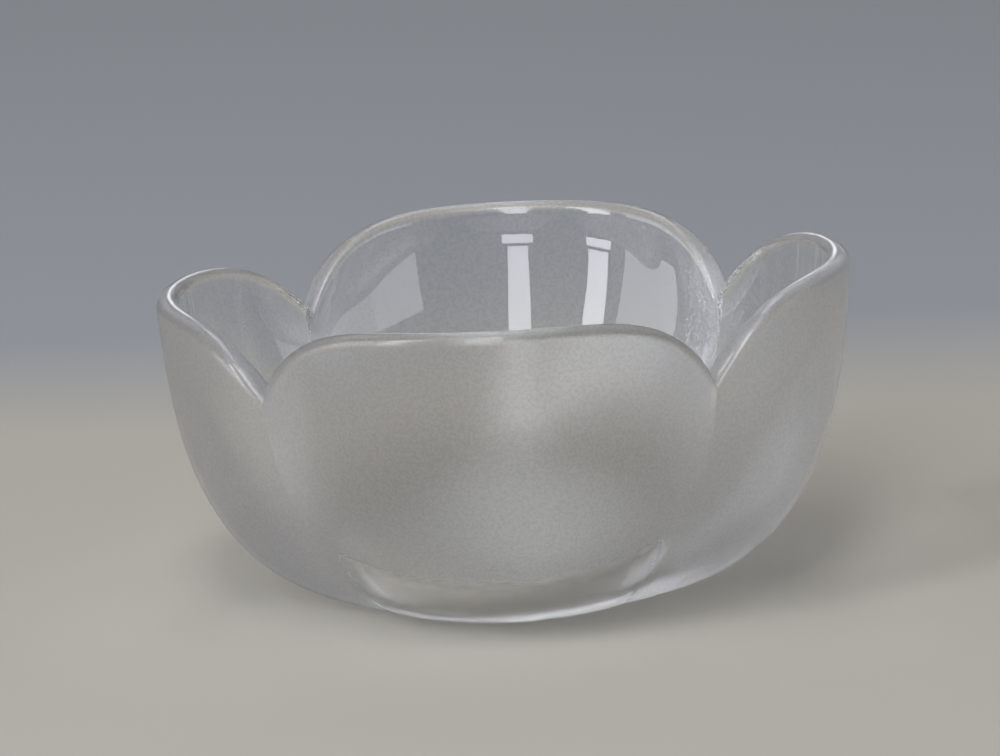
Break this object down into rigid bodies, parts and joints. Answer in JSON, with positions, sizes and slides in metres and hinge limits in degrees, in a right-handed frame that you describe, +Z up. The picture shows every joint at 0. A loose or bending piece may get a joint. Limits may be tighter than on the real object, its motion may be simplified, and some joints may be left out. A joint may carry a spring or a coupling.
{
  "type": "glass bowl",
  "caption": "Open serving bowl of thick pressed glass whose wall is a ring of broad rounded petals, satin outside, clear and polished inside and on the rim, with a flat foot.",
  "frame": {"origin": "middle of the flat foot, on the surface that the bowl stands on", "axes": "+Z up through the open mouth; petals on the four horizontal axes, the front one on -Y and the lower one on -X"},
  "size_m": [0.1485, 0.15, 0.07],
  "materials": {
    "glass": "clear pressed glass, satin-frosted on the outside of the petals, polished on the rim and inside"
  },
  "bodies": {
    "root": {"bowl": "glass"}
  },
  "joints": []
}
